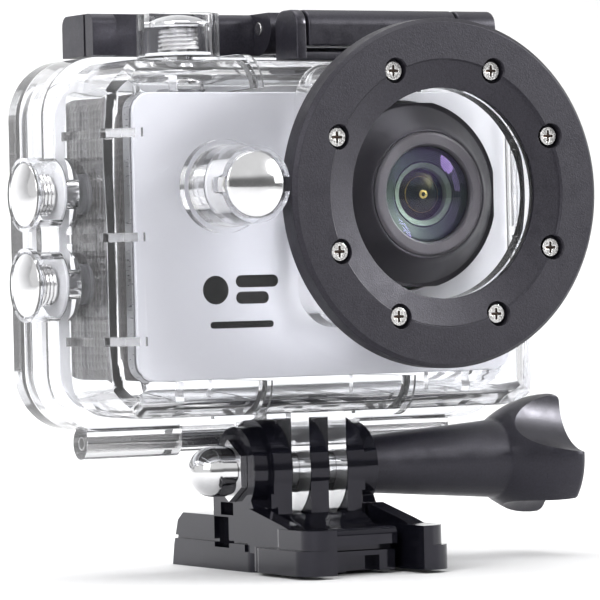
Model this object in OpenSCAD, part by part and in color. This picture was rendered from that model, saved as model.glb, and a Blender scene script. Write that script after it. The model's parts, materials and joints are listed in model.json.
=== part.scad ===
// Action camera in a clear waterproof case, held on a quick-release buckle.
// Origin: on the floor under the tilt pivot. +Z is up and the lens looks along -Y.

/* [Mount] */
// Height of the tilt pivot above the floor
pivot_h = 15; // [14.8:0.1:16]
// Thickness of one mount finger
finger_t = 3; // [2.9:0.1:3]
// Gap between two neighbouring mount fingers
finger_gap = 3.2; // [3.2:0.1:3.3]
// Radius of a finger's round end
finger_r = 7.5; // [7.3:0.1:7.5]
// Diameter of the clamp screw
bolt_d = 5; // [4.8:0.1:5]

/* [Case] */
// Width of the clear case body
case_w = 70.6; // [70.2:0.1:71]
// Height of the clear case body
case_h = 52; // [51.8:0.1:52.4]
// Wall thickness of the case at its sides
case_wall = 2; // [1.8:0.1:2.2]
// Width of the sealing flange
flange_w = 78; // [77.6:0.1:78.4]
// Height of the sealing flange
flange_h = 55; // [54.8:0.1:55]

/* [Lens window] */
// Outer radius of the black lens ring
ring_r = 25.6; // [25:0.1:26]
// Radius of the opening in the lens ring
ring_hole_r = 15.4; // [15:0.1:15.6]
// Distance of the eight ring screws from the lens axis
ring_screw_pitch_r = 19.66; // [19.6:0.02:19.8]

/* [Camera] */
// Width of the camera
cam_w = 62.2; // [61.8:0.1:62.6]
// Height of the camera
cam_h = 41.8; // [41.4:0.1:42]

/* [Buttons] */
// Radius of a push button's metal cap
cap_r = 4.65; // [4.4:0.05:4.7]
// Radius of a push button's stem
stem_r = 1.5; // [1.3:0.1:1.6]

/* [Hidden] */
$fn = 48;
eps = 0.01;
fit = 0.05;       // radial clearance of a running fit
gap = 0.3;        // clearance between parts that pass each other

bolt_r = bolt_d / 2;
finger_pitch = finger_t + finger_gap;

// Case: z values are counted from the tilt pivot
case_z = 34.5;
case_front = -13.7;
case_edge_r = 5;
case_corner_r = 6;
front_wall = 1.7;
cavity_front = case_front + front_wall;
cavity_w = case_w - 2 * case_wall;
cavity_h = case_h - 2 * case_wall;
flange_z = 34;
flange_r = 9;
flange_front = 3;
flange_back = 11;
flange_wall = 2.8;
groove_front = 6.2;
door_front = flange_back + gap;
door_back = 16;
door_rim = 15.2;
door_skin = 2;
plug_w = flange_w - 2 * flange_wall - 2 * gap;
plug_h = flange_h - 2 * flange_wall - 1;
plug_t = 1.7;
seal_front = 6.6;
seal_back = 8.4;
rib_t = 1.3;
rib_proud = 0.8;
side_rib_z = [19.8, 34.8, 49.8];
side_rib_end = 31.4;
rest_x = 24;
rest_t = 1.4;
rest_front = -9;
rest_back = 2;
top_rib_x = [-12.3];
low_rib_x = [-12, 12];
low_rib_top = 13.6;
top_rib_low = 56.1;

// Hinge of the rear door
hinge_y = 10;
hinge_z = 4.55;
hinge_r = 2.4;
hinge_pin_r = 1;
hinge_x = 30.9;
knuckle_x = 15.2;
door_barrel_r = 1.8;
barrel_web = 3;

// Lens turret, ring and window
lens_x = 12.9;
lens_z = 40.3;
turret_w = 38.6;
turret_r = 6;
turret_front = -21;
turret_wall = 2.2;
turret_side = 2;
ring_front = -24.7;
land_depth = 1.1;
land_step = 0.3;
bevel_r = 19.5;
window_r = 17.2;
window_front = -23;
window_back = -21.6;
ring_screw_angle = 24.8;
screw_head_r = 1.35;
screw_shank_r = 0.9;
screw_head_front = -23.9;
screw_head_back = -22.9;
screw_end = -18.5;
screw_well_r = 1.85;
cross_half = 0.85;
cross_t = 0.4;
cross_depth = 0.5;

// Buttons: [place, turn, cap bottom, pocket floor, wall, stem end, guard end,
//           guard radius at its foot, guard radius at its rim]
cap_h = 1.9;
cap_dome_r = 9.6;
pocket_r = cap_r + 0.25;
seal_t = 0.5;
clip_r = 2.4;
clip_t = 0.35;
clip_mouth = 1.2;
clip_gap = 0.1;
groove_depth = 0.25;
shutter = [[-19.7, -3, 0], [0, 0, 0], 65.4, 61.2, 58.5, 57.6, 67.4, 6.15, 6.05];
power = [[-18.6, 0, 41.9], [90, 0, 0], 23.7, 18.5, 12, 11.4, 24.4, 6.3, 5.55];
upper = [[0, 4.5, 41.4], [0, -90, 0], 41, 37, 33.3, 32.6, 41.8, 5.5, 5.45];
lower = [[0, 4.5, 28.2], [0, -90, 0], 41, 37, 33.3, 32.6, 41.8, 5.5, 5.45];
collar_r = 6.8;
collar_front = -15.2;
side_web_x = [-41, -36];
side_web_y = [0.5, 8.5];
slot_w = 2.1;
slot_depth = 2.4;
coil_r = 2.8;
wire_r = 0.3;
coil_turns = 5;
coil_steps = 12;
coil_sides = 6;

// Camera keys: [place, turn, camera surface, how far the key stands out]
key_r = 3;
key_clear = 0.15;
key_depth = 1.2;
key_room = 1.4;
shutter_press = [[-19.7, -3, 0], [0, 0, 0], 55.7, 0.8];
power_press = [[-18.6, 0, 41.9], [90, 0, 0], 10.2, 0.4];
upper_press = [[0, 4.5, 41.4], [0, -90, 0], 31, 0.8];
lower_press = [[0, 4.5, 28.2], [0, -90, 0], 31, 0.8];

// Camera
cam_x = 0.1;
cam_z = 34.8;
cam_front = -10.2;
cam_back = 12;
cam_r = 3;
face_t = 0.8;
band_front = -8.8;
band_back = -6.2;
skin_front = -6;
skin_back = 10.2;
inset = 0.4;
cam_wall = 1.4;
screen_w = 46.8;
screen_h = 33.8;
screen_r = 1.4;
screen_t = 0.7;
board_w = 50;
board_h = 34;
board_y = [-6.2, -4.8];
board_hole_x = 23;
board_hole_z = 15;
sensor_w = 9;
sensor_h = 8;
sensor_front = -7.4;
cell_w = 29;
cell_h = 33;
cell_y = [-1.6, 7.2];
cell_x = -7;
bay_x = [-22, 8];
bay_y = [-2, 7.5];
barrel_r = 14;
barrel_flat = 13.6;
barrel_front = -14.6;
barrel_nose = -18.5;
nose_r = 9.2;
glass_r = 7;
glass_curve = 18;
glass_front = -19.3;
baffle_steps = 6;
baffle_depth = 4.2;
baffle_back = -9;
bore_r = 3.9;
inner_r = 3.7;
inner_front = -14.4;
inner_back = -12.4;
inner_curve = 6;
cone_front = -17.2;
barrel_back = -7.6;

// Latch across the top
latch_y = 2.05;
latch_z = 65.7;
latch_pin_r = 1;
latch_left = -30.4;
latch_step = -3.6;
latch_right = 30.6;
latch_low = 61.8;
latch_top = 68;
latch_back = 14;
latch_recess = 3.5;
latch_barrel_r = 3.9;
ear_x = [0, 25];
ear_t = 3;
ear_r = 2.4;
ear_foot = 59.5;
bar_front = -9.95;
bar_back = -3.1;
lock_left = -1.5;
lock_right = 23.8;
lock_y = -6.6;
lock_z = 64.6;
lock_pin_r = 0.8;
edge_r = 1.6;
bar_r = 2.4;
bracket_low = 60.5;
lock_low = 62.6;
lock_pin_end = 2.2;
hook_x = 14;
hook_back = 16.2;
hook_h = 2.6;
end_groove_y = [6, 6.6];
end_groove_depth = 0.6;
guard_notch_y = 5.2;

// Buckle: z values here are counted from the floor
deck_x = 10;
deck_front = -10;
deck_back = 19.4;
deck_top = 8.1;
foot_back = 22;
seam_z = 4.1;
seam_depth = 0.5;
core_x = 6.3;
tongue_x = 5.4;
tongue_front = -20.5;
tongue_top = 6.9;
tongue_r = 1.1;
tongue_pocket = 2.8;
tongue_slot_z = 3.5;
deck_bevel = 1.2;
deck_corner_r = 3;
side_pocket_y = [2.4, 7.1];
side_pocket_z = [3.4, 8];
nut_pocket_y = [0.8, 4.8];
nut_pocket_z = [8.3, 10.2];
pocket_depth = 1.3;
shoulder_front = -5.6;
shoulder_back = 7.2;
shoulder_step = 11.2;
shoulder_top_y = 5.2;
slope_end = [-15.7, 7.6];
slope_foot = -19;
arm_low_back = -8.8;
arm_high_back = -13.5;
arm_in = 7.2;
arm_out = 12.4;
arm_top_out = 11.5;
arm_front = -25.2;
arm_low = 0.5;
arm_step = 4.1;
arm_top = 7;
arm_root_top = 9.6;
arm_back = -6;
arm_r = 2.1;
arm_pivot_x = 9.3;
arm_pivot_y = -8.1;
arm_corner = 2.1;
arm_front_corner = 3.2;
boss_r = 6.5;
boss_x = 10.4;
nut_flat = 8;
nut_x = 8.4;
nut_rim = -11.5;
dome_r = 3.75;
dome_x = -14.1;
bolt_tip = -13.2;

// Thumb screw
knob_start = 10.7;
knob_neck = 33.8;
knob_end = 45.4;
knob_thin_r = 4.2;
knob_thick_r = 5.95;
knob_lobe_r = 9.6;
knob_round = 1.1;
scoop_r = 8;
scoop_start = 15.5;
scoop_end = 13.2;
lobe_turn = 48;
lobe_count = 3;
dimple_x = 38.5;
dimple_r = 0.5;
socket_depth = 8;

// ---------- helpers ----------

// Moves a shape drawn about the tilt pivot to its height above the floor
module from_pivot() { translate([0, 0, pivot_h]) children(); }

// Cylinders along X, Y and Z between two ends
module along_x(r, x0, x1, y = 0, z = 0) {
  translate([x0, y, z]) rotate([0, 90, 0]) cylinder(r = r, h = x1 - x0);
}
module along_y(r, y0, y1, x = 0, z = 0) {
  translate([x, y1, z]) rotate([90, 0, 0]) cylinder(r = r, h = y1 - y0);
}
module along_z(r, z0, z1, x = 0, y = 0) {
  translate([x, y, z0]) cylinder(r = r, h = z1 - z0);
}

// Box between two corners on each axis
module block(x, y, z) {
  translate([x[0], y[0], z[0]]) cube([x[1] - x[0], y[1] - y[0], z[1] - z[0]]);
}

// Rounded rectangle
module plate_outline(w, h, r) {
  square([w - 2 * r, h], center = true);
  square([w, h - 2 * r], center = true);
  for (sx = [-1, 1], sy = [-1, 1])
    translate([sx * (w / 2 - r), sy * (h / 2 - r)]) circle(r);
}

// Upright rounded plate between two y values
module slab(w, h, r, y0, y1, x = 0, z = 0) {
  translate([x, y1, z]) rotate([90, 0, 0])
    linear_extrude(y1 - y0) plate_outline(w, h, r);
}

// Both the left and the right copy of a shape drawn on the right
module both_sides() {
  children();
  mirror([1, 0, 0]) children();
}

// Turned shape about the lens axis; outline points are [radius, y]
module turned_on_lens(points) {
  translate([lens_x, 0, lens_z]) rotate([90, 0, 0])
    rotate_extrude() polygon([for (p = points) [p[0], -p[1]]]);
}

// Puts a button part at its place, its own +Z pointing out of the case
module at_button(b) {
  from_pivot() translate(b[0]) rotate(b[1]) children();
}

// Helical spring between two heights
module coil(z0, z1) {
  count = coil_turns * coil_steps;
  rise = z1 - z0 - 2 * wire_r;
  points = [
    for (i = [0:count], j = [0:coil_sides - 1])
      let (turn = 360 * i / coil_steps, side = 360 * j / coil_sides,
           r = coil_r + wire_r * cos(side))
      [r * cos(turn), r * sin(turn),
       z0 + wire_r + rise * i / count + wire_r * sin(side)]
  ];
  sides = [
    for (i = [0:count - 1], j = [0:coil_sides - 1])
      let (k = (j + 1) % coil_sides, a = i * coil_sides, b = a + coil_sides)
      [a + j, b + j, b + k, a + k]
  ];
  first = [for (j = [0:coil_sides - 1]) j];
  last = [for (j = [coil_sides - 1:-1:0]) count * coil_sides + j];
  polyhedron(points, concat(sides, [first], [last]), convexity = 10);
}

// ---------- case ----------

// Body of the case: an upright plate whose front edges are rounded both ways
module case_body(w, h, y0, y1, corner_r, front_r) {
  depth = 2 * (y1 - y0);
  translate([0, 0, case_z]) intersection() {
    slab(w, h, corner_r, y0, y1);
    translate([-w / 2 - 1, y1, 0]) rotate([90, 0, 90])
      linear_extrude(w + 2) plate_outline(depth, h, front_r);
    translate([0, y1, -h / 2 - 1])
      linear_extrude(h + 2) plate_outline(w, depth, front_r);
  }
}

// Stiffening ribs that wrap over the front edges
module rib_blocks() {
  for (z = side_rib_z)
    both_sides()
      block([side_rib_end, case_w / 2 + 2], [-20, flange_front + 1],
            [z - rib_t / 2, z + rib_t / 2]);
  for (x = top_rib_x)
    block([x - rib_t / 2, x + rib_t / 2], [-20, flange_front + 1],
          [top_rib_low, case_z + case_h / 2 + 2]);
  for (x = low_rib_x)
    block([x - rib_t / 2, x + rib_t / 2], [-20, flange_front + 1],
          [case_z - case_h / 2 - 2, low_rib_top]);
}

module ribs() {
  intersection() {
    case_body(case_w + 2 * rib_proud, case_h + 2 * rib_proud,
              case_front - rib_proud, flange_front + 1,
              case_corner_r + rib_proud, case_edge_r + rib_proud);
    rib_blocks();
  }
}

// Clear guards round the four buttons
module guards() {
  for (b = [shutter, power, upper, lower])
    translate(b[0]) rotate(b[1])
      translate([0, 0, b[4] + gap]) cylinder(r1 = b[7], r2 = b[8], h = b[6] - b[4] - gap);
  along_y(collar_r, collar_front, case_front + 1, power[0][0], power[0][2]);
  block(side_web_x, side_web_y, [lower[0][2], upper[0][2]]);
}

// Pocket for the cap, hole for the stem, and the slots of the two long guards
module button_cuts() {
  for (b = [shutter, power, upper, lower])
    translate(b[0]) rotate(b[1]) {
      along_z(pocket_r, b[3], b[6] + 1);
      along_z(stem_r + fit, b[4] - 1, b[3] + 1);
    }
  for (b = [shutter, power])
    translate(b[0]) rotate(b[1])
      block([-8, 8], [-slot_w / 2, slot_w / 2], [b[6] - slot_depth, b[6] + 1]);
}

// Upright part of a mount finger, with its round end at the pivot
module finger(x0, x1, reach) {
  along_x(finger_r, x0, x1);
  block([x0, x1], [-finger_r + gap, finger_r - gap],
        [min(reach, 0), max(reach, 0)]);
}

module case_fingers() {
  for (sx = [-1, 1])
    finger(sx * finger_pitch / 2 - finger_t / 2, sx * finger_pitch / 2 + finger_t / 2, 9.5);
}

// Round barrel of the door hinge with a web up to the flange
module barrel(r, x0, x1, y0, y1) {
  along_x(r, x0, x1, hinge_y, hinge_z);
  block([x0, x1], [y0, y1], [hinge_z, hinge_z + barrel_web]);
}

module latch_ears() {
  for (x = ear_x) {
    along_x(ear_r, x, x + ear_t, latch_y, latch_z);
    block([x, x + ear_t], [latch_y - ear_r + gap, latch_y + ear_r - gap],
          [ear_foot, latch_z]);
  }
}

module screw_places() {
  for (q = [0:90:270], a = [ring_screw_angle, 90 - ring_screw_angle])
    translate([lens_x + ring_screw_pitch_r * cos(q + a), 0,
               lens_z + ring_screw_pitch_r * sin(q + a)]) children();
}

// Small inside ribs that the camera rests between
module camera_rests() {
  cam_low = cam_z - cam_h / 2 - 0.15;
  cam_high = cam_z + cam_h / 2 + 0.15;
  low_wall = case_z - cavity_h / 2 - 0.3;
  high_wall = case_z + cavity_h / 2 + 0.3;
  for (sx = [-1, 1], z = [[low_wall, cam_low], [cam_high, high_wall]])
    block([sx * rest_x - rest_t / 2, sx * rest_x + rest_t / 2], [rest_front, rest_back], z);
}

module front_shell() {
  color("white", 0.35) from_pivot() difference() {
    union() {
      difference() {
        union() {
          case_body(case_w, case_h, case_front, flange_front + 1,
                    case_corner_r, case_edge_r);
          slab(flange_w, flange_h, flange_r, flange_front, flange_back, 0, flange_z);
          slab(turret_w, turret_w, turret_r, turret_front, cavity_front, lens_x, lens_z);
          guards();
          for (sx = [-1, 1])
            barrel(hinge_r, sx > 0 ? knuckle_x : -hinge_x, sx > 0 ? hinge_x : -knuckle_x,
                   hinge_y - hinge_r, flange_back);
        }
        case_body(cavity_w, cavity_h, cavity_front, flange_back + 1,
                  case_corner_r - case_wall, case_edge_r - case_wall);
        slab(flange_w - 2 * flange_wall, flange_h - 2 * flange_wall,
             flange_r - flange_wall, groove_front, flange_back + 1, 0, flange_z);
        slab(turret_w - 2 * turret_side, turret_w - 2 * turret_side, turret_r - turret_side,
             turret_front + turret_wall, cavity_front + 1, lens_x, lens_z);
      }
      ribs();
      case_fingers();
      latch_ears();
      camera_rests();
    }
    along_y(ring_hole_r + 0.2, turret_front - 1, turret_front + turret_wall + 1,
            lens_x, lens_z);
    screw_places() along_y(screw_shank_r, turret_front - 1, screw_end + 0.5);
    button_cuts();
    along_x(bolt_r + fit + 0.03, -6, 6);
    along_x(hinge_pin_r, -hinge_x + 0.5, hinge_x + 1, hinge_y, hinge_z);
    along_x(door_barrel_r + gap, -knuckle_x, knuckle_x, hinge_y, hinge_z);
    along_x(latch_pin_r, -1, latch_right, latch_y, latch_z);
    for (x = [[-8.5, -finger_pitch / 2 - finger_t / 2], [-finger_gap / 2, finger_gap / 2],
              [finger_pitch / 2 + finger_t / 2, 8.5]])
      along_x(finger_r + gap, x[0], x[1]);
  }
}

module rear_door() {
  color("white", 0.35) from_pivot() difference() {
    union() {
      slab(flange_w, flange_h, flange_r, door_front, door_rim, 0, flange_z);
      slab(flange_w - 6, flange_h - 6, flange_r - 3, door_rim - eps, door_back, 0, flange_z);
      slab(plug_w, plug_h, flange_r - flange_wall, seal_back, door_front + 1, 0, flange_z);
      barrel(door_barrel_r, gap - knuckle_x, knuckle_x - gap, door_front, door_rim);
    }
    slab(plug_w - 2 * plug_t, plug_h - 2 * plug_t, flange_r - flange_wall - plug_t,
         seal_back - 1, door_back - door_skin, 0, flange_z);
    along_x(hinge_pin_r + fit, -knuckle_x - 1, knuckle_x + 1, hinge_y, hinge_z);
    both_sides() along_x(hinge_r + gap, knuckle_x - gap, hinge_x + 6, hinge_y, hinge_z);
  }
}

module door_seal() {
  color("dimgray") from_pivot() difference() {
    slab(plug_w + 0.1, plug_h + 0.1, flange_r - flange_wall, seal_front, seal_back, 0, flange_z);
    slab(plug_w - 2 * plug_t, plug_h - 2 * plug_t, flange_r - flange_wall - plug_t,
         seal_front - 1, seal_back + 1, 0, flange_z);
  }
}

module door_hinge_pin() {
  color("silver") from_pivot()
    along_x(hinge_pin_r, -hinge_x + 0.5, hinge_x - 0.5, hinge_y, hinge_z);
}

// ---------- lens window ----------

module lens_ring() {
  color("#2b2b2f") from_pivot() difference() {
    turned_on_lens([
      [ring_hole_r, ring_front + land_depth], [bevel_r - 0.1, ring_front + land_step],
      [bevel_r + 0.1, ring_front],
      [ring_r - 0.6, ring_front], [ring_r, ring_front + 0.6],
      [ring_r, turret_front], [window_r + 0.1, turret_front],
      [window_r + 0.1, window_front], [ring_hole_r, window_front]
    ]);
    screw_places() {
      along_y(screw_well_r, ring_front - 1, screw_head_back);
      along_y(screw_shank_r, screw_head_back - 1, turret_front + 1);
    }
  }
}

// One cross-head screw pointing along +Y
module ring_screw() {
  difference() {
    union() {
      along_y(screw_head_r, screw_head_front, screw_head_back);
      along_y(screw_shank_r, screw_head_back - eps, screw_end);
    }
    for (turn = [0, 90])
      rotate([0, turn, 0])
        block([-cross_half, cross_half], [screw_head_front - 1, screw_head_front + cross_depth],
              [-cross_t / 2, cross_t / 2]);
  }
}

module ring_screws() {
  color("silver") from_pivot() screw_places() ring_screw();
}

module lens_window() {
  color("lightblue", 0.3) from_pivot()
    along_y(window_r, window_front, window_back, lens_x, lens_z);
}

module window_gasket() {
  color("black") from_pivot() difference() {
    along_y(window_r, window_back, turret_front, lens_x, lens_z);
    along_y(ring_hole_r + 0.4, window_back - 1, turret_front + 1, lens_x, lens_z);
  }
}

// ---------- latch ----------

// Bar along X whose front and back top edges are rounded
module rounded_bar(x0, x1, y0, y1, z0, z1, r) {
  block([x0, x1], [y0, y1], [z0, z1 - r]);
  block([x0, x1], [y0 + r, y1 - r], [z0, z1]);
  for (y = [y0 + r, y1 - r]) along_x(r, x0, x1, y, z1 - r);
}

module latch_lever() {
  color("#2b2b2f") from_pivot() difference() {
    union() {
      rounded_bar(latch_left, latch_right, latch_recess, latch_back,
                  latch_low, latch_top, edge_r);
      intersection() {
        along_x(latch_barrel_r, latch_step, latch_right, latch_y, latch_z);
        block([latch_step, latch_right], [latch_y - latch_barrel_r, latch_recess + edge_r],
              [latch_low, latch_top]);
      }
      block([-hook_x, hook_x], [latch_back - 2, hook_back], [latch_low, latch_low + hook_h]);
    }
    for (x = ear_x)
      block([x - gap, x + ear_t + gap], [latch_y - 6, latch_y + ear_r + gap + 0.4],
            [latch_low - 2, latch_top + 1]);
    along_x(latch_pin_r + fit, latch_step - 1, latch_right + 1, latch_y, latch_z);
    block([latch_left - 1, latch_left + end_groove_depth], end_groove_y,
          [latch_low - 1, latch_top + 1]);
    block([shutter[0][0] - shutter[7] - 0.7, shutter[0][0] + shutter[7] + 0.7],
          [latch_recess - 1, guard_notch_y], [latch_low - 1, latch_top + 1]);
  }
}

module latch_pin() {
  color("silver") from_pivot()
    along_x(latch_pin_r, latch_step - 0.15, latch_right - 0.2, latch_y, latch_z);
}

module latch_bracket() {
  color("#2b2b2f") from_pivot() difference() {
    union() {
      for (x = [[latch_step, lock_left - gap - 0.1], [lock_right + gap + 0.1, latch_right]])
        rounded_bar(x[0], x[1], bar_front, bar_back, bracket_low, latch_top, bar_r);
      block([latch_step, latch_right], [bar_front + 0.6, bar_back], [bracket_low, latch_low]);
    }
    along_x(lock_pin_r, latch_step + 1, lock_right + lock_pin_end, lock_y, lock_z);
  }
}

module latch_lock() {
  color("#2b2b2f") from_pivot() difference() {
    rounded_bar(lock_left, lock_right, bar_front, bar_back - gap, lock_low, latch_top, bar_r);
    along_x(lock_pin_r + fit, lock_left - 1, lock_right + 1, lock_y, lock_z);
  }
}

module lock_pin() {
  color("silver") from_pivot()
    along_x(lock_pin_r, latch_step + 1, lock_right + lock_pin_end, lock_y, lock_z);
}

// ---------- buttons ----------

// Domed metal cap on a stem with a groove for the clip
module plunger(b) {
  color("silver") at_button(b) difference() {
    union() {
      intersection() {
        along_z(cap_r, b[2], b[2] + cap_h);
        translate([0, 0, b[2] + cap_h - cap_dome_r]) sphere(cap_dome_r);
      }
      along_z(stem_r, b[5], b[2] + eps);
    }
    difference() {
      along_z(stem_r + 1, b[4] - clip_gap - clip_t, b[4] - clip_gap);
      along_z(stem_r - groove_depth, b[4] - 1, b[4]);
    }
  }
}

module spring(b) {
  color("silver") at_button(b) coil(b[3] + seal_t, b[2]);
}

module stem_seal(b) {
  color("#202022") at_button(b) difference() {
    along_z(pocket_r - 0.1, b[3], b[3] + seal_t);
    along_z(stem_r + fit, b[3] - 1, b[3] + seal_t + 1);
  }
}

module clip(b) {
  color("silver") at_button(b) difference() {
    along_z(clip_r, b[4] - clip_gap - clip_t, b[4] - clip_gap);
    along_z(stem_r - groove_depth, b[4] - 1, b[4]);
    block([-clip_mouth / 2, clip_mouth / 2], [0, clip_r + 1], [b[4] - 1, b[4]]);
  }
}

module shutter_plunger() { plunger(shutter); }
module power_plunger() { plunger(power); }
module upper_plunger() { plunger(upper); }
module lower_plunger() { plunger(lower); }
module shutter_spring() { spring(shutter); }
module power_spring() { spring(power); }
module upper_spring() { spring(upper); }
module lower_spring() { spring(lower); }
module shutter_seal() { stem_seal(shutter); }
module power_seal() { stem_seal(power); }
module upper_seal() { stem_seal(upper); }
module lower_seal() { stem_seal(lower); }
module shutter_clip() { clip(shutter); }
module power_clip() { clip(power); }
module upper_clip() { clip(upper); }
module lower_clip() { clip(lower); }

// ---------- camera ----------

module key(k) {
  color("dimgray") at_button(k) along_z(key_r, k[2] - key_depth, k[2] + k[3]);
}

module shutter_key() { key(shutter_press); }
module power_key() { key(power_press); }
module upper_key() { key(upper_press); }
module lower_key() { key(lower_press); }

// Room for the four keys and their travel
module key_cuts() {
  for (k = [shutter_press, power_press, upper_press, lower_press])
    translate(k[0]) rotate(k[1])
      along_z(key_r + key_clear, k[2] - key_depth - key_room, k[2] + 1);
}

module cam_slab(less, y0, y1) {
  slab(cam_w - 2 * less, cam_h - 2 * less, cam_r - less, y0, y1, cam_x, cam_z);
}

module lens_cut(y0, y1) { along_y(barrel_r + 0.1, y0, y1, lens_x, lens_z); }

module camera_front() {
  color("gainsboro") from_pivot() difference() {
    cam_slab(0, cam_front, cam_front + face_t);
    lens_cut(cam_front - 1, cam_front + 2);
    key_cuts();
  }
}

module camera_band() {
  color("darkgray") from_pivot() difference() {
    cam_slab(0, band_front, band_back);
    cam_slab(inset, band_front - 1, band_back + 1);
  }
}

// Opening in the camera's bottom for the battery
module battery_bay(grow, z) {
  block([bay_x[0] - grow, bay_x[1] + grow], [bay_y[0] - grow, bay_y[1] + grow], z);
}

module camera_skin() {
  color("#4a4a4c") from_pivot() difference() {
    cam_slab(0, skin_front, skin_back);
    cam_slab(inset, skin_front - 1, skin_back + 1);
    key_cuts();
    battery_bay(0, [cam_z - cam_h / 2 - 1, cam_z - cam_h / 2 + 2]);
  }
}

module camera_body() {
  color("#2b2b2f") from_pivot() difference() {
    cam_slab(inset, cam_front + face_t, skin_back + 0.2);
    cam_slab(inset + cam_wall, cam_front + face_t + cam_wall, skin_back + 1);
    lens_cut(cam_front, cam_front + 4);
    key_cuts();
    battery_bay(0, [cam_z - cam_h / 2 - 1, cam_z - cam_h / 2 + 3]);
  }
}

module camera_back() {
  color("#3a3a3c") from_pivot() difference() {
    cam_slab(0, skin_back + 0.2, cam_back);
    slab(screen_w + 0.2, screen_h + 0.2, screen_r + 0.1, cam_back - screen_t, cam_back + 1,
         cam_x, cam_z);
  }
}

module camera_screen() {
  color("#101014") from_pivot()
    slab(screen_w, screen_h, screen_r, cam_back - screen_t, cam_back, cam_x, cam_z);
}

module lens_barrel() {
  color("#1a1a1c") from_pivot() difference() {
    union() {
      intersection() {
        along_y(barrel_r, barrel_front, barrel_back, lens_x, lens_z);
        slab(2 * barrel_flat, 2 * barrel_flat, 3, barrel_front - 1, barrel_back + 1,
             lens_x, lens_z);
      }
      turned_on_lens([
        [glass_r + 1, barrel_front + eps], [barrel_flat - 0.4, barrel_front + eps],
        [nose_r + 1.4, cone_front], [nose_r + 0.3, barrel_nose], [glass_r + 1, barrel_nose]
      ]);
    }
    along_y(glass_r + 0.4, barrel_nose - 1, barrel_back + 1, lens_x, lens_z);
    along_y(nose_r, barrel_nose - 1, barrel_nose + 0.6, lens_x, lens_z);
  }
}

module lens_bezel() {
  color("#3c3c40") from_pivot()
    turned_on_lens([
      [glass_r + 0.1, barrel_nose + 0.6], [nose_r - 0.05, barrel_nose + 0.6],
      [nose_r - 0.05, barrel_nose - 0.1], [nose_r - 0.6, barrel_nose - 0.4],
      [glass_r + 0.4, barrel_nose - 0.4], [glass_r + 0.1, barrel_nose]
    ]);
}

module lens_glass() {
  dome = [for (i = [0:10]) let (t = i * asin(glass_r / glass_curve) / 10)
    [glass_curve * sin(t), glass_front + glass_curve * (1 - cos(t))]];
  color("teal", 0.5) from_pivot()
    turned_on_lens(concat(dome, [[glass_r, barrel_nose + 0.8], [0, barrel_nose + 0.8]]));
}

// Stepped black cone behind the front glass
module lens_baffle() {
  step_r = (glass_r + 0.1 - bore_r) / baffle_steps;
  step_y = baffle_depth / baffle_steps;
  color("#10211f") from_pivot()
    turned_on_lens(concat(
      [for (i = [0:baffle_steps - 1], k = [0, 1])
        [glass_r + 0.1 - (i + k) * step_r, barrel_nose + 1 + i * step_y]],
      [[bore_r, baffle_back], [glass_r + 0.1, baffle_back]]
    ));
}

module lens_inner() {
  color("#28343c", 0.6) from_pivot() translate([lens_x, 0, lens_z]) intersection() {
    along_y(inner_r, inner_front - 1, inner_back);
    translate([0, inner_front + inner_curve, 0]) sphere(inner_curve, $fn = 96);
  }
}

module image_sensor() {
  color("#26343a") from_pivot()
    block([lens_x - sensor_w / 2, lens_x + sensor_w / 2], [sensor_front, board_y[0]],
          [lens_z - sensor_h / 2, lens_z + sensor_h / 2]);
}

module main_board() {
  color("darkgreen") from_pivot() difference() {
    slab(board_w, board_h, 2, board_y[0], board_y[1], cam_x, cam_z);
    for (sx = [-1, 1], sz = [-1, 1])
      along_y(1, board_y[0] - 1, board_y[1] + 1, cam_x + sx * board_hole_x,
              cam_z + sz * board_hole_z);
  }
}

module battery() {
  color("#5a6a7a") from_pivot()
    slab(cell_w, cell_h, 1.5, cell_y[0], cell_y[1], cell_x, cam_z - 1.4);
}

module battery_door() {
  color("#4a4a4c") from_pivot() battery_bay(-0.2, [cam_z - cam_h / 2, cam_z - cam_h / 2 + 1.2]);
}

// ---------- buckle and screw ----------

// Bar along X from a side outline whose points are [y, z]
module side_bar(x0, x1, points) {
  translate([x0, 0, 0]) rotate([90, 0, 90]) linear_extrude(x1 - x0) polygon(points);
}

// Round seat in which a squeeze arm turns
module arm_seat() {
  along_z(arm_r + gap, -1, arm_root_top + 2, arm_pivot_x, arm_pivot_y);
}

// Three fingers and the round bosses on the outer two
module buckle_fingers() {
  for (i = [-1:1])
    finger(i * finger_pitch - finger_t / 2, i * finger_pitch + finger_t / 2, -9);
  both_sides() along_x(boss_r, finger_pitch + finger_t / 2 - eps, boss_x);
}

// Rounds the deck's lower front corner behind the arm
module deck_corner_cut() {
  corner_y = shoulder_front + deck_corner_r;
  difference() {
    block([deck_x - deck_corner_r, deck_x + 1], [shoulder_front - 1, corner_y], [-1, seam_z]);
    along_z(deck_corner_r, -2, seam_z + 1, deck_x - deck_corner_r, corner_y);
  }
}

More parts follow.
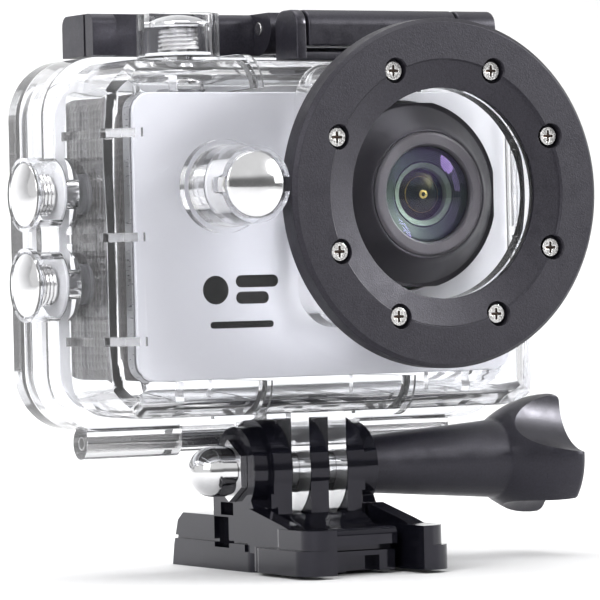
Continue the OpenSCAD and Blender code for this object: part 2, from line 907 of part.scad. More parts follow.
// Deck with its slanted back, the shoulders beside the fingers and the front tongue
module buckle_base() {
  side_bar(-deck_x, deck_x, [
    [shoulder_front, 0], [foot_back, 0], [foot_back - 0.6, seam_z - 1],
    [deck_back + 0.6, deck_top - deck_bevel], [deck_back - deck_bevel, deck_top],
    [deck_front + 3, deck_top], [shoulder_front, seam_z]
  ]);
  side_bar(-core_x, core_x, [
    [deck_front - 3, 0.4], [0, 0.4], [0, deck_top + 0.6], [deck_front + 1, deck_top + 0.4],
    [deck_front - 2, tongue_top]
  ]);
  both_sides()
    side_bar(finger_pitch, boss_x - eps, [
      [shoulder_front, 3], [shoulder_back, 3], [shoulder_back, shoulder_step],
      [shoulder_top_y, pivot_h], [-shoulder_top_y, pivot_h], [shoulder_front + 1, shoulder_step],
      [shoulder_front, arm_root_top]
    ]);
  block([-tongue_x, tongue_x], [tongue_front, deck_front], [0.5, tongue_top - tongue_r]);
  block([-tongue_x, tongue_x], [tongue_front + tongue_r, deck_front], [0.5, tongue_top]);
  along_x(tongue_r, -tongue_x, tongue_x, tongue_front + tongue_r, tongue_top - tongue_r);
}

module buckle() {
  color("#1c1c1f") difference() {
    union() {
      from_pivot() buckle_fingers();
      buckle_base();
    }
    block([-tongue_pocket, tongue_pocket], [tongue_front - 1, tongue_front + 3],
          [0, tongue_pocket]);
    block([-tongue_x - 1, tongue_x + 1], [tongue_front - 1, tongue_front + 2],
          [tongue_slot_z, tongue_slot_z + 0.9]);
    block([-tongue_x - 1, tongue_x + 1], [tongue_front - 1, tongue_front + 0.8],
          [0, tongue_slot_z + 0.1]);
    both_sides() {
      arm_seat();
      block([deck_x - seam_depth, deck_x + 1], [shoulder_front + 2, foot_back + 1],
            [seam_z, seam_z + 0.5]);
      block([deck_x - pocket_depth, deck_x + 1], side_pocket_y, side_pocket_z);
      block([boss_x - pocket_depth, boss_x + 1], nut_pocket_y, nut_pocket_z);
      deck_corner_cut();
    }
    from_pivot() {
      for (sx = [-1, 1])
        along_x(finger_r + gap, sx * finger_pitch / 2 - finger_gap / 2,
                sx * finger_pitch / 2 + finger_gap / 2);
      along_x(bolt_r + fit, -boss_x - 1, boss_x + 1);
      translate([-boss_x - 1, 0, 0]) rotate([0, 90, 0])
        cylinder(d = (nut_flat + 0.2) / cos(30), h = boss_x + 1 - nut_x, $fn = 6);
    }
  }
}

// Outline of an arm seen from above, with rounded outer corners
module arm_outline(outer, back) {
  nose_y = arm_front + arm_front_corner;
  tail_y = back - arm_corner;
  translate([arm_in, nose_y]) square([outer - arm_in, tail_y - nose_y]);
  translate([arm_in, arm_front]) square([outer - arm_in - arm_front_corner, arm_front_corner]);
  translate([arm_in, tail_y]) square([outer - arm_in - arm_corner, arm_corner]);
  intersection() {
    translate([arm_in, arm_front]) square([outer - arm_in, 2 * arm_front_corner]);
    translate([outer - arm_front_corner, nose_y]) circle(arm_front_corner);
  }
  translate([outer - arm_corner, tail_y]) circle(arm_corner);
}

module arm() {
  translate([0, 0, arm_low]) linear_extrude(arm_step - arm_low) arm_outline(arm_out, arm_low_back);
  translate([0, 0, arm_step - eps])
    linear_extrude(arm_top - arm_step) arm_outline(arm_top_out, arm_high_back);
  side_bar(arm_pivot_x - 0.6, arm_top_out - 0.2, [
    [arm_back, arm_step - 1], [arm_back, arm_root_top], slope_end,
    [slope_foot, arm_top - 0.2], [slope_foot, arm_step - 1]
  ]);
  along_z(arm_r, arm_low, arm_step, arm_pivot_x, arm_pivot_y);
}

module right_arm() { color("#1c1c1f") arm(); }

module left_arm() { color("#1c1c1f") mirror([1, 0, 0]) arm(); }

module acorn_nut() {
  color("silver") from_pivot() difference() {
    union() {
      translate([nut_rim, 0, 0]) rotate([0, 90, 0])
        cylinder(d = nut_flat / cos(30), h = -nut_x - nut_rim, $fn = 6);
      along_x(dome_r, dome_x, nut_rim + 0.1);
      translate([dome_x, 0, 0]) sphere(dome_r);
    }
    along_x(bolt_r + fit, bolt_tip - gap, -nut_x + 1);
  }
}

module screw_bolt() {
  color("silver") from_pivot() along_x(bolt_r, bolt_tip, knob_start + socket_depth);
}

// Knob: a cone, a flare to the widest part and a rounded rim; points are [radius, distance]
module knob_blank() {
  wide_x = knob_end - knob_round;
  flare = [for (i = [0:8]) let (u = i / 8)
    [knob_thick_r + (knob_lobe_r - knob_thick_r) * (1 - pow(1 - u, 2)),
     knob_neck + (wide_x - knob_neck) * u]];
  rim = [for (t = [15:15:90])
    [knob_lobe_r - knob_round * (1 - cos(t)), wide_x + knob_round * sin(t)]];
  rotate([0, 90, 0]) rotate_extrude()
    polygon(concat([[0, knob_start], [knob_thin_r, knob_start]], flare, rim, [[0, knob_end]]));
}

module screw_knob() {
  length = knob_end - knob_neck;
  tilt = atan((scoop_start - scoop_end) / length);
  color("#2b2b2f") from_pivot() difference() {
    knob_blank();
    for (i = [1:lobe_count])
      rotate([lobe_turn + i * 360 / lobe_count, 0, 0])
        translate([knob_neck, 0, scoop_start]) rotate([0, 90 + tilt, 0])
          translate([0, 0, -2]) cylinder(r = scoop_r, h = length + 8);
    rotate([lobe_turn + 180 / lobe_count, 0, 0])
      along_z(dimple_r, knob_lobe_r - 1, knob_lobe_r + 1, dimple_x, 0);
    along_x(bolt_r, knob_start - 1, knob_start + socket_depth);
  }
}

front_shell();
rear_door();
door_seal();
door_hinge_pin();
lens_ring();
ring_screws();
lens_window();
window_gasket();
latch_lever();
latch_pin();
latch_bracket();
latch_lock();
lock_pin();
shutter_plunger();
power_plunger();
upper_plunger();
lower_plunger();
shutter_spring();
power_spring();
upper_spring();
lower_spring();
shutter_seal();
power_seal();
upper_seal();
lower_seal();
shutter_clip();
power_clip();
upper_clip();
lower_clip();
camera_front();
camera_band();
camera_skin();
camera_body();
camera_back();
camera_screen();
lens_barrel();
lens_bezel();
lens_glass();
lens_baffle();
lens_inner();
shutter_key();
power_key();
upper_key();
lower_key();
image_sensor();
main_board();
battery();
battery_door();
buckle();
left_arm();
right_arm();
acorn_nut();
screw_bolt();
screw_knob();
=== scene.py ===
"""Action camera in a clear waterproof case on a tilting buckle mount.

The CAD frame gives every size and place. This script gives each node a softer-edged mesh and a
finish, builds the lens details and the printed mark, and sets up the studio and the camera.
"""

import json
import math

import bmesh
import bpy
from mathutils import Matrix, Vector

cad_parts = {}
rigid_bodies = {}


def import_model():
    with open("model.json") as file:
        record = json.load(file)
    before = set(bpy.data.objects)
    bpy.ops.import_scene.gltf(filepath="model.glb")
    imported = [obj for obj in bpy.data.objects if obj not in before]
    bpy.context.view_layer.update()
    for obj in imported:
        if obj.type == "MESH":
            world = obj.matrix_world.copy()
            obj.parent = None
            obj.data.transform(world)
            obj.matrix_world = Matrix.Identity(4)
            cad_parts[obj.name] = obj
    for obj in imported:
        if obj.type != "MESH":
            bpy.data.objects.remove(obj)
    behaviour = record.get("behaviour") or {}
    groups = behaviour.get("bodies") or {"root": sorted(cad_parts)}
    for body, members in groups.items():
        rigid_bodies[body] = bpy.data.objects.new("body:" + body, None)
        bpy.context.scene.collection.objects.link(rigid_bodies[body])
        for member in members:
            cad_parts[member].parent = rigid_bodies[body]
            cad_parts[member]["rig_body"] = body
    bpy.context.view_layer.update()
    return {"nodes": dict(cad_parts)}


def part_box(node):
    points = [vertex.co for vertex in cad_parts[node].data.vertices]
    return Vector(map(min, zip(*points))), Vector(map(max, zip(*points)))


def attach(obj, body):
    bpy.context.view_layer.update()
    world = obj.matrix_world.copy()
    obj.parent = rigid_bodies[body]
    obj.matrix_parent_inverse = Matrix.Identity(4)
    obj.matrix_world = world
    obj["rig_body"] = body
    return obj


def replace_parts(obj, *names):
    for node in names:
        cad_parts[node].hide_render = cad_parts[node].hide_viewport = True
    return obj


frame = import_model()

MM = 0.001
PIVOT_Z = 15 * MM
BUTTONS = ("shutter", "power", "upper", "lower")
scene = bpy.context.scene
low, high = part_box("lens_bezel")
LENS_X, LENS_Z = ((a + b) / 2 / MM for a, b in ((low.x, high.x), (low.z, high.z)))


# ---------------------------------------------------------------- materials


def new_node(mat, kind, **values):
    """A shader node with its sockets or settings filled in."""
    made = mat.node_tree.nodes.new(kind)
    for key, value in values.items():
        name = key.replace("_", " ")
        if name in made.inputs:
            made.inputs[name].default_value = value
        else:
            setattr(made, key, value)
    return made


def link(mat, source, target):
    mat.node_tree.links.new(source, target)


def finish(name, colour, rough, **shader):
    """A material with one Principled shader; more of its sockets are given by name."""
    mat = bpy.data.materials.new(name)
    mat.use_nodes = True
    surface = mat.node_tree.nodes["Principled BSDF"]
    surface.inputs["Base Color"].default_value = (*colour, 1)
    surface.inputs["Roughness"].default_value = rough
    for key, value in shader.items():
        surface.inputs[key.replace("_", " ")].default_value = value
    mat.diffuse_color = (*colour, 1)
    return mat


def place(mat, stretch=(1, 1, 1)):
    """The point on the piece in millimetres, squeezed along some axes for a directional grain."""
    where = new_node(mat, "ShaderNodeTexCoord")
    scaled = new_node(mat, "ShaderNodeMapping")
    scaled.inputs["Scale"].default_value = [s / MM for s in stretch]
    link(mat, where.outputs["Object"], scaled.inputs["Vector"])
    return scaled.outputs["Vector"]


def noise(mat, size, detail=3, stretch=(1, 1, 1)):
    """Noise whose blobs are about size millimetres across."""
    made = new_node(mat, "ShaderNodeTexNoise", Scale=1 / size, Detail=detail)
    link(mat, place(mat, stretch), made.inputs["Vector"])
    return made.outputs["Fac"]


def spread(mat, source, low, high):
    """Maps noise to the range from low to high."""
    made = new_node(mat, "ShaderNodeMapRange", From_Min=0.3, From_Max=0.7, To_Min=low, To_Max=high)
    link(mat, source, made.inputs["Value"])
    return made.outputs["Result"]


def shade_with(mat, source, colour, amount):
    """Lets the base colour drift darker and lighter by the given share."""
    mix = new_node(mat, "ShaderNodeMix", data_type="RGBA")
    mix.inputs["A"].default_value = (*(c * (1 - amount) for c in colour), 1)
    mix.inputs["B"].default_value = (*(min(c * (1 + amount), 1) for c in colour), 1)
    link(mat, spread(mat, source, 0, 1), mix.inputs["Factor"])
    target = mat.node_tree.nodes["Principled BSDF"].inputs["Base Color"]
    link(mat, mix.outputs["Result"], target)


def bump_with(mat, source, depth):
    """Raises the surface by up to depth millimetres."""
    made = new_node(mat, "ShaderNodeBump", Strength=1.0)
    made.inputs["Distance"].default_value = depth * MM
    link(mat, source, made.inputs["Height"])
    link(mat, made.outputs["Normal"], mat.node_tree.nodes["Principled BSDF"].inputs["Normal"])


def rough_with(mat, source, low, high):
    """Lets the roughness drift between low and high."""
    target = mat.node_tree.nodes["Principled BSDF"].inputs["Roughness"]
    link(mat, spread(mat, source, low, high), target)


def moulded(name, colour, rough, grain, depth, speckle=0, **shader):
    """Moulded plastic or rubber: fine grain, slight mottling and uneven gloss."""
    mat = finish(name, colour, rough, **shader)
    if depth:
        bump_with(mat, noise(mat, grain, 2), depth)
    if speckle:
        shade_with(mat, noise(mat, grain * 1.4, 3), colour, speckle)
    else:
        shade_with(mat, noise(mat, 5), colour, 0.12)
    rough_with(mat, noise(mat, 2.2), rough - 0.05, rough + 0.07)
    return mat


def metal(name, colour, rough, streak=(1, 1, 1), depth=0.002):
    """Metal with faint tool marks that may run one way."""
    mat = finish(name, colour, rough, Metallic=1.0)
    marks = noise(mat, 0.25, 3, streak)
    bump_with(mat, marks, depth)
    rough_with(mat, marks, rough * 0.7, rough * 1.4)
    shade_with(mat, noise(mat, 3), colour, 0.05)
    return mat


def screw_steel():
    """Bright steel with painted shade: its colour turns dark below the screw's face, in its cross
    recess.
    """
    mat = metal("screw_steel", (0.92, 0.91, 0.90), 0.24, depth=0.0003)
    colour = mat.node_tree.nodes["Principled BSDF"].inputs["Base Color"]
    bright = colour.links[0].from_socket
    where = new_node(mat, "ShaderNodeTexCoord")
    parts = new_node(mat, "ShaderNodeSeparateXYZ")
    link(mat, where.outputs["Object"], parts.inputs[0])
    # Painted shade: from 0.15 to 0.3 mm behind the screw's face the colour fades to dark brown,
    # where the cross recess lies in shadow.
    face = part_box("ring_screws")[0].y
    painted_recess_shade = new_node(mat, "ShaderNodeMapRange", From_Min=face + 0.15 * MM, From_Max=face + 0.3 * MM)
    link(mat, parts.outputs["Y"], painted_recess_shade.inputs["Value"])
    mix = new_node(mat, "ShaderNodeMix", data_type="RGBA")
    mix.inputs["B"].default_value = (0.08, 0.06, 0.05, 1)
    link(mat, painted_recess_shade.outputs["Result"], mix.inputs["Factor"])
    link(mat, bright, mix.inputs["A"])
    link(mat, mix.outputs["Result"], colour)
    return mat


def clear(name, tint, rough, ripple, bend=1.36):
    """Clear plastic or glass that lets lamps through to what is inside."""
    mat = finish(name, tint, rough, Transmission_Weight=1, IOR=bend)
    if ripple:
        bump_with(mat, noise(mat, 9, 1), ripple)
    if rough:
        rough_with(mat, noise(mat, 4), 0, rough)
    surface = mat.node_tree.nodes["Principled BSDF"]
    output = mat.node_tree.nodes["Material Output"]
    path = new_node(mat, "ShaderNodeLightPath")
    through = new_node(mat, "ShaderNodeBsdfTransparent")
    through.inputs["Color"].default_value = (*(0.5 + 0.5 * c for c in tint), 1)
    mix = new_node(mat, "ShaderNodeMixShader")
    link(mat, path.outputs["Is Shadow Ray"], mix.inputs[0])
    link(mat, surface.outputs[0], mix.inputs[1])
    link(mat, through.outputs[0], mix.inputs[2])
    link(mat, mix.outputs[0], output.inputs["Surface"])
    return mat


def clouded(mat, haze, edge_haze):
    """The same clear plastic a little milky, most of all where it is seen at a low angle."""
    facing = new_node(mat, "ShaderNodeLayerWeight", Blend=0.5)
    amount = new_node(mat, "ShaderNodeMapRange", From_Min=0.45, From_Max=0.95,
                      To_Min=1 - haze, To_Max=1 - edge_haze)
    link(mat, facing.outputs["Facing"], amount.inputs["Value"])
    surface = mat.node_tree.nodes["Principled BSDF"]
    link(mat, amount.outputs["Result"], surface.inputs["Transmission Weight"])
    return mat


def silver_paint():
    """Silver paint: fine metal flakes under a satin clear coat."""
    colour = (0.60, 0.60, 0.635)
    mat = finish("silver_paint", colour, 0.5, Metallic=0.3, Coat_Weight=0.12, Coat_Roughness=0.25)
    flakes = noise(mat, 0.12, 2)
    bump_with(mat, flakes, 0.004)
    shade_with(mat, flakes, colour, 0.10)
    rough_with(mat, noise(mat, 2.5), 0.48, 0.56)
    return mat


def speckled_skin():
    """Dark grained wrap of the camera's sides: small light specks in a woven grain."""
    colour = (0.026, 0.022, 0.022)
    mat = finish("speckled_skin", colour, 0.6, Specular_IOR_Level=0.3)
    cells = new_node(mat, "ShaderNodeTexVoronoi", Scale=0.9, Randomness=0.2)
    link(mat, place(mat), cells.inputs["Vector"])
    bump_with(mat, cells.outputs["Distance"], 0.25)
    shade_with(mat, cells.outputs["Distance"], colour, 0.7)
    rough_with(mat, noise(mat, 0.6), 0.45, 0.65)
    return mat


def lens_coating(name, tint, reflection):
    """Lens glass with a coating that colours its reflections."""
    mat = clear(name, tint, 0.02, 0, bend=1.45)
    surface = mat.node_tree.nodes["Principled BSDF"]
    surface.inputs["Specular Tint"].default_value = (*reflection, 1)
    surface.inputs["Specular IOR Level"].default_value = 0.05
    return mat


CASE_CLEAR = clouded(clear("case_clear", (0.98, 0.985, 1.0), 0.03, 0.02),
                     haze=0.010, edge_haze=0.16)
WINDOW_CLEAR = clear("window_clear", (0.985, 0.99, 0.99), 0.0, 0.002)
COOL = (0.90, 0.88, 1.0, 1)
RING_BLACK = moulded("ring_black", (0.011, 0.010, 0.014), 0.46, 0.2, 0.03, 0.6,
                     Specular_Tint=COOL, Specular_IOR_Level=0.42)
LATCH_BLACK = moulded("latch_black", (0.019, 0.018, 0.024), 0.34, 0.22, 0.014, 0.4,
                      Specular_Tint=COOL)
KNOB_BLACK = moulded("knob_black", (0.008, 0.0075, 0.012), 0.36, 0.22, 0.016, 0.4,
                     Specular_Tint=COOL)
BUCKLE_BLACK = moulded("buckle_black", (0.005, 0.005, 0.008), 0.08, 0.8, 0.003,
                       Specular_Tint=COOL, Specular_IOR_Level=0.42)
RUBBER = moulded("rubber", (0.035, 0.035, 0.035), 0.6, 0.3, 0.02)
PALE_SILICONE = moulded("pale_silicone", (0.74, 0.74, 0.76), 0.45, 0.3, 0.01)
BODY_GREY = moulded("body_grey", (0.34, 0.34, 0.36), 0.45, 0.3, 0.01)
INNER_BLACK = moulded("inner_black", (0.03, 0.03, 0.032), 0.5, 0.3, 0.02)
BARREL_BLACK = moulded("barrel_black", (0.008, 0.007, 0.010), 0.34, 0.15, 0.004,
                       Specular_Tint=COOL, Specular_IOR_Level=0.4)
BAFFLE_BLACK = moulded("baffle_black", (0.006, 0.009, 0.009), 0.34, 0.2, 0.001,
                       Specular_IOR_Level=0.3)
INNER_DARK = moulded("inner_dark", (0.003, 0.006, 0.009), 0.12, 0.5, 0,
                     Specular_Tint=(1.0, 0.72, 0.40, 1))
KEY_GREY = moulded("key_grey", (0.10, 0.10, 0.11), 0.35, 0.3, 0.006)
BOARD_GREEN = moulded("board_green", (0.015, 0.10, 0.05), 0.4, 0.5, 0.02)
CELL_WRAP = moulded("cell_wrap", (0.16, 0.21, 0.30), 0.35, 0.6, 0.02)
SCREEN_BLACK = moulded("screen_black", (0.008, 0.008, 0.01), 0.1, 2.0, 0.001)
INK_BLACK = moulded("ink_black", (0.002, 0.002, 0.002), 0.45, 0.2, 0.004, Specular_IOR_Level=0.1)
CHROME = metal("chrome", (0.80, 0.80, 0.81), 0.09, depth=0.0006)
STEEL = metal("steel", (0.80, 0.79, 0.78), 0.20, depth=0.0004)
BAND_METAL = metal("band_metal", (0.36, 0.36, 0.37), 0.34, (1, 0.08, 1), 0.006)
BEZEL_METAL = moulded("bezel_satin", (0.035, 0.032, 0.04), 0.38, 0.12, 0.003, Metallic=0.4)
SILVER = silver_paint()
SKIN = speckled_skin()
FRONT_GLASS = lens_coating("front_glass", (0.72, 0.82, 0.78), (0.52, 0.27, 1.0))
INNER_GLASS = lens_coating("inner_glass", (0.35, 0.55, 0.6), (1.0, 0.75, 0.45))
INNER_RIM = moulded("inner_rim", (0.050, 0.050, 0.047), 0.5, 0.2, 0.002, Specular_IOR_Level=0.3)
IRIS_GOLD = metal("iris_gold", (0.42, 0.25, 0.10), 0.3, depth=0.0004)
SENSOR_GLASS = moulded("sensor_glass", (0.05, 0.09, 0.11), 0.12, 1.0, 0.001, Metallic=0.5)


# ---------------------------------------------------------------- pieces from CAD nodes

# node: (material, edge radius in millimetres)
FINISHES = {
    "front_shell": (CASE_CLEAR, 0.22), "rear_door": (CASE_CLEAR, 0.3),
    "door_seal": (PALE_SILICONE, 0.15), "door_hinge_pin": (STEEL, 0.1),
    "lens_ring": (RING_BLACK, 0.25), "ring_screws": (screw_steel(), 0.08),
    "lens_window": (WINDOW_CLEAR, 0.1), "window_gasket": (RUBBER, 0.1),
    "latch_lever": (LATCH_BLACK, 0.3), "latch_pin": (STEEL, 0.1),
    "latch_bracket": (LATCH_BLACK, 0.3), "latch_lock": (LATCH_BLACK, 0.3),
    "lock_pin": (STEEL, 0.1),
    "camera_front": (SILVER, 0.2), "camera_band": (BAND_METAL, 0.1),
    "camera_skin": (SKIN, 0.1), "camera_body": (BODY_GREY, 0.15),
    "camera_back": (INNER_BLACK, 0.25), "camera_screen": (SCREEN_BLACK, 0.1),
    "lens_barrel": (BARREL_BLACK, 0.15), "lens_bezel": (BEZEL_METAL, 0.06),
    "lens_baffle": (BAFFLE_BLACK, 0.06), "lens_inner": (INNER_GLASS, 0.0),
    "image_sensor": (SENSOR_GLASS, 0.1), "main_board": (BOARD_GREEN, 0.1),
    "battery": (CELL_WRAP, 0.3), "battery_door": (INNER_BLACK, 0.15),
    "buckle": (BUCKLE_BLACK, 0.35), "left_arm": (BUCKLE_BLACK, 0.3),
    "right_arm": (BUCKLE_BLACK, 0.3),
    "acorn_nut": (CHROME, 0.2), "screw_bolt": (CHROME, 0.2), "screw_knob": (KNOB_BLACK, 0.5),
}
for button in BUTTONS:
    FINISHES[button + "_plunger"] = (CHROME, 0.12)
    FINISHES[button + "_spring"] = (STEEL, 0.0)
    FINISHES[button + "_seal"] = (PALE_SILICONE, 0.1)
    FINISHES[button + "_clip"] = (STEEL, 0.05)
    FINISHES[button + "_key"] = (KEY_GREY, 0.3)

SHARP = math.radians(32)


def polish(node, mat, edge):
    """Stands for a CAD node with clean faces, softened edges and smooth shading."""
    source = frame["nodes"][node]
    mesh = source.data.copy()
    mesh.name = node + "_mesh"
    if "custom_normal" in mesh.attributes:
        mesh.attributes.remove(mesh.attributes["custom_normal"])
    work = bmesh.new()
    work.from_mesh(mesh)
    bmesh.ops.remove_doubles(work, verts=work.verts, dist=0.001 * MM)
    bmesh.ops.dissolve_limit(work, angle_limit=math.radians(0.5), verts=work.verts,
                             edges=work.edges)
    for face in work.faces:
        face.smooth = True
    for side in work.edges:
        side.smooth = len(side.link_faces) == 2 and side.calc_face_angle(0) < SHARP
    work.to_mesh(mesh)
    work.free()
    mesh.materials.clear()
    mesh.materials.append(mat)
    piece = bpy.data.objects.new(node + "_piece", mesh)
    scene.collection.objects.link(piece)
    if edge:
        bevel = piece.modifiers.new("soft_edges", "BEVEL")
        bevel.width = edge * MM
        bevel.segments = 2
        bevel.limit_method = "ANGLE"
        bevel.angle_limit = SHARP
        bevel.use_clamp_overlap = True
    weights = piece.modifiers.new("even_shading", "WEIGHTED_NORMAL")
    weights.keep_sharp = not edge
    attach(piece, source["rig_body"])
    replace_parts(piece, node)
    return piece


for node, (mat, edge) in FINISHES.items():
    polish(node, mat, edge)


# ---------------------------------------------------------------- lens details


def turned_piece(name, outline, mat, body, steps=96):
    """A solid of revolution about the lens axis; outline points are (radius, y) in millimetres."""
    work = bmesh.new()
    rings = []
    for radius, y in outline:
        if radius:
            angles = [2 * math.pi * k / steps for k in range(steps)]
            rings.append([work.verts.new(((LENS_X + radius * math.cos(a)) * MM, y * MM,
                                          (LENS_Z + radius * math.sin(a)) * MM))
                          for a in angles])
        else:
            rings.append([work.verts.new((LENS_X * MM, y * MM, LENS_Z * MM))])
    closed = len(rings[0]) > 1 and len(rings[-1]) > 1
    for i in range(len(rings) if closed else len(rings) - 1):
        first, second = rings[i], rings[(i + 1) % len(rings)]
        for k in range(steps):
            corners = [first[k % len(first)], first[(k + 1) % len(first)],
                       second[(k + 1) % len(second)], second[k % len(second)]]
            work.faces.new(list(dict.fromkeys(corners)))
    bmesh.ops.recalc_face_normals(work, faces=work.faces)
    for face in work.faces:
        face.smooth = True
    for side in work.edges:
        side.smooth = side.calc_face_angle(0) < SHARP
    mesh = bpy.data.meshes.new(name)
    work.to_mesh(mesh)
    work.free()
    mesh.materials.append(mat)
    piece = bpy.data.objects.new(name, mesh)
    scene.collection.objects.link(piece)
    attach(piece, body)
    return piece


def ribbed_cone(outer, inner, front, depth, count, tooth):
    """Outline of a cone with fine ribs, from its wide front edge inwards."""
    points = []
    for i in range(count):
        part = i / count
        radius, y = outer - (outer - inner) * part, front + depth * part
        step = (outer - inner) / count
        points += [(radius, y), (radius - 0.45 * step, y + depth / count - tooth),
                   (radius - 0.55 * step, y + depth / count)]
    return points


# Outlines are in millimetres; the glass keeps the curve radius it has in the CAD
low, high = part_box("lens_glass")
GLASS_R, GLASS_CURVE = (high.x - low.x) / 2 / MM, 18
slopes = [math.asin(GLASS_R / GLASS_CURVE) * k / 16 for k in range(17)]
front_glass = turned_piece("lens_front_dome", [
    (GLASS_CURVE * math.sin(a), low.y / MM + GLASS_CURVE * (1 - math.cos(a))) for a in slopes
] + [(GLASS_R, high.y / MM), (0, high.y / MM)], FRONT_GLASS, "case")
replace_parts(front_glass, "lens_glass")
RIM_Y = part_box("lens_bezel")[1].y / MM
CONE_WIDE, CONE_NARROW, CONE_BACK = 6.9, 4.5, RIM_Y + 3.2
cone = ribbed_cone(CONE_WIDE, CONE_NARROW, RIM_Y + 0.3, 0.9, 9, 0.05)
cone += [(CONE_NARROW, RIM_Y + 1.3), (CONE_NARROW, CONE_BACK), (CONE_WIDE, CONE_BACK)]
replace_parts(turned_piece("lens_cone", cone, BAFFLE_BLACK, "case"), "lens_baffle")
RING_OUT, RING_IN, RING_BACK = 4.45, 3.5, RIM_Y + 2.6
turned_piece("lens_inner_rim", [
    (RING_OUT, RIM_Y + 1.15), (RING_IN + 0.2, RIM_Y + 1.35), (RING_IN, RIM_Y + 1.7),
    (RING_IN, RING_BACK), (RING_OUT, RING_BACK)], INNER_RIM, "case")
DOME_R, DOME_FRONT, DOME_BACK, DOME_SAG = 3.45, RIM_Y + 1.25, RIM_Y + 2.5, 0.9
dome = [(DOME_R * k / 8, DOME_FRONT + DOME_SAG * (k / 8) ** 2) for k in range(9)]
dome += [(DOME_R, DOME_BACK), (0, DOME_BACK)]
turned_piece("lens_inner_dome", dome, INNER_DARK, "case")
EDGE_PROUD, EDGE_LIP, EDGE_DEPTH = 0.03, 0.04, 0.2
for name, radius, width in (("lens_warm_rim", 2.5, 0.04), ("lens_iris_edge", 0.62, 0.3)):
    level = DOME_FRONT - EDGE_PROUD + DOME_SAG * (radius / DOME_R) ** 2
    turned_piece(name, [
        (radius, level), (radius - width, level - EDGE_LIP),
        (radius - width, level + EDGE_DEPTH), (radius, level + EDGE_DEPTH)],
        IRIS_GOLD, "case", 48)


# ---------------------------------------------------------------- printed mark


def flat_piece(name, outlines, y, thick, mat, body):
    """A thin printed shape on the camera's front; outlines are loops of (x, z) in millimetres."""
    work = bmesh.new()
    for loop in outlines:
        front = [work.verts.new((x * MM, (y - thick) * MM, z * MM + PIVOT_Z)) for x, z in loop]
        back = [work.verts.new((x * MM, y * MM, z * MM + PIVOT_Z)) for x, z in loop]
        work.faces.new(front)
        work.faces.new(list(reversed(back)))
        for i in range(len(loop)):
            j = (i + 1) % len(loop)
            work.faces.new((front[j], front[i], back[i], back[j]))
    bmesh.ops.recalc_face_normals(work, faces=work.faces)
    mesh = bpy.data.meshes.new(name)
    work.to_mesh(mesh)
    work.free()
    mesh.materials.append(mat)
    piece = bpy.data.objects.new(name, mesh)
    scene.collection.objects.link(piece)
    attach(piece, body)
    return piece


def bar_outline(x, z, w, h):
    """A bar with round ends, as a loop of points."""
    r = h / 2
    ends = [(x + w / 2 - r, -90), (x - w / 2 + r, 90)]
    return [(cx + r * math.cos(math.radians(start + 15 * k)),
             z + r * math.sin(math.radians(start + 15 * k)))
            for cx, start in ends for k in range(13)]


CAMERA_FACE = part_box("camera_front")[0].y / MM
MARK_X, MARK_Z = -14.6, 25
flat_piece("face_mark", [
    bar_outline(MARK_X - 3.8, MARK_Z + 1.9, 4.2, 4.2),
    bar_outline(MARK_X + 3.0, MARK_Z + 3.1, 7.0, 1.8),
    bar_outline(MARK_X + 2.2, MARK_Z + 0.7, 5.4, 1.8),
    bar_outline(MARK_X + 0.4, MARK_Z - 3.2, 10.4, 1.0),
], CAMERA_FACE + 0.01, 0.04, INK_BLACK, "case")


# ---------------------------------------------------------------- studio


def area_lamp(name, place_mm, look_mm, size_mm, power, tall_mm=None):
    """A softbox that faces the given point."""
    lamp = bpy.data.lights.new(name, "AREA")
    lamp.shape = "RECTANGLE"
    lamp.size = size_mm * MM
    lamp.size_y = (tall_mm or size_mm) * MM
    lamp.energy = power
    holder = bpy.data.objects.new(name, lamp)
    scene.collection.objects.link(holder)
    holder.location = Vector(place_mm) * MM
    away = Vector(look_mm) * MM - holder.location
    holder.rotation_euler = away.to_track_quat("-Z", "Y").to_euler()
    return holder


def link_lamp(lamp, pieces, state):
    """Makes a lamp light only the given pieces, or every piece but these."""
    group = bpy.data.collections.new(lamp.name + "_pieces")
    for i, piece in enumerate(pieces):
        group.objects.link(bpy.data.objects[piece])
        group.collection_objects[i].light_linking.link_state = state
    lamp.light_linking.receiver_collection = group


def studio_floor():
    """Pale floor that curves up behind the object."""
    depth, rise, half = 900, 500, 1500
    profile = [(-900, 0), (depth - rise, 0)]
    profile += [(depth - rise + rise * math.sin(math.radians(a)),
                 rise - rise * math.cos(math.radians(a))) for a in range(10, 91, 10)]
    profile.append((depth, 1600))
    work = bmesh.new()
    rows = [[work.verts.new((x * MM, y * MM, z * MM)) for y, z in profile] for x in (-half, half)]
    for i in range(len(profile) - 1):
        work.faces.new((rows[0][i], rows[1][i], rows[1][i + 1], rows[0][i + 1]))
    for face in work.faces:
        face.smooth = True
    mesh = bpy.data.meshes.new("floor")
    work.to_mesh(mesh)
    work.free()
    paper = finish("paper", (0.86, 0.86, 0.865), 0.75)
    shade_with(paper, noise(paper, 120), (0.86, 0.86, 0.865), 0.01)
    bump_with(paper, noise(paper, 0.8), 0.01)
    mesh.materials.append(paper)
    floor = bpy.data.objects.new("floor", mesh)
    scene.collection.objects.link(floor)


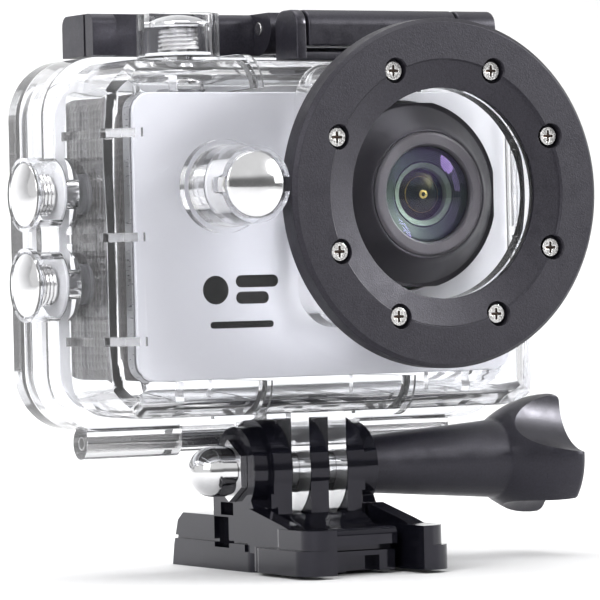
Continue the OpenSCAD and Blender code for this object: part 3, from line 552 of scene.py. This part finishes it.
def surroundings():
    """Even pale light with a dark band at eye height on the side the lens looks to."""
    world = bpy.data.worlds.new("studio")
    scene.world = world
    world.use_nodes = True
    nodes = world.node_tree.nodes
    links = world.node_tree.links
    where = nodes.new("ShaderNodeTexCoord")
    parts = nodes.new("ShaderNodeSeparateXYZ")
    links.new(where.outputs["Generated"], parts.inputs[0])

    def ramp(source, low, high, start, end):
        made = nodes.new("ShaderNodeMapRange")
        made.interpolation_type = "SMOOTHSTEP"
        for name, value in (("From Min", low), ("From Max", high),
                            ("To Min", start), ("To Max", end)):
            made.inputs[name].default_value = value
        links.new(source, made.inputs["Value"])
        return made.outputs["Result"]

    def join(kind, first, second):
        made = nodes.new("ShaderNodeMath")
        made.operation = kind
        links.new(first, made.inputs[0])
        links.new(second, made.inputs[1])
        return made.outputs[0]

    above = ramp(parts.outputs["Z"], 0.10, 0.34, 0, 1)
    left = ramp(parts.outputs["X"], -0.50, -0.70, 0, 1)
    behind = ramp(parts.outputs["Y"], -0.35, 0.0, 0, 1)
    lit = join("MAXIMUM", join("MAXIMUM", above, left), behind)
    links.new(ramp(lit, 0, 1, 0.17, 0.80), nodes["Background"].inputs["Strength"])
    nodes["Background"].inputs["Color"].default_value = (1, 1, 1, 1)


def photo_camera():
    """Camera at the matched angle, with a long lens."""
    azimuth, elevation, roll = (math.radians(a) for a in (-28.424, 0.36, 1.328))
    back = Vector((math.sin(azimuth) * math.cos(elevation),
                   -math.cos(azimuth) * math.cos(elevation), math.sin(elevation)))
    right = Vector((math.cos(azimuth), math.sin(azimuth), 0))
    up = back.cross(right)
    x_axis = right * math.cos(roll) - up * math.sin(roll)
    y_axis = right * math.sin(roll) + up * math.cos(roll)
    distance, aside, above = 631.1, 1.124, 25.07
    spot = (back * distance + right * aside + up * above) * MM + Vector((0, 0, PIVOT_Z))
    data = bpy.data.cameras.new("photo_camera")
    data.sensor_width = 36
    data.lens = 253.04
    data.clip_start = 0.05
    data.clip_end = 20
    holder = bpy.data.objects.new("photo_camera", data)
    scene.collection.objects.link(holder)
    turn = Matrix((x_axis, y_axis, back)).transposed().to_4x4()
    holder.matrix_world = Matrix.Translation(spot) @ turn
    scene.camera = holder


studio_floor()
surroundings()
area_lamp("key", (-620, -420, 420), (0, 0, 50), 420, 3.0)
area_lamp("side", (620, -200, 260), (0, 0, 50), 360, 1.0)
area_lamp("top", (0, 60, 700), (0, 0, 50), 500, 2.6)
area_lamp("backdrop_light", (0, 300, 500), (0, 850, 150), 700, 2.5)
# The lens spot shares the right lamp's place, so that the glass can be lit more than the rest
RIGHT_LAMP = (475, -330, 285)
for name, power, pieces, state in (
        ("right", 4.5, ["camera_front_piece"], "EXCLUDE"),
        ("lens_spot", 16.0, ["lens_front_dome", "lens_window_piece"], "INCLUDE")):
    disc = area_lamp(name, RIGHT_LAMP, (LENS_X, -19, LENS_Z), 150, power)
    disc.data.shape = "DISK"
    disc.visible_diffuse = False
    link_lamp(disc, pieces, state)
face_fill = area_lamp("face_fill", (-140, -140, 15), (-20, -19, 35), 60, 0.036)
face_fill.visible_glossy = False
link_lamp(face_fill, ["camera_front_piece"], "INCLUDE")
photo_camera()

scene.cycles.max_bounces = 16
scene.cycles.transmission_bounces = 14
scene.cycles.transparent_max_bounces = 32
scene.view_settings.view_transform = "Standard"
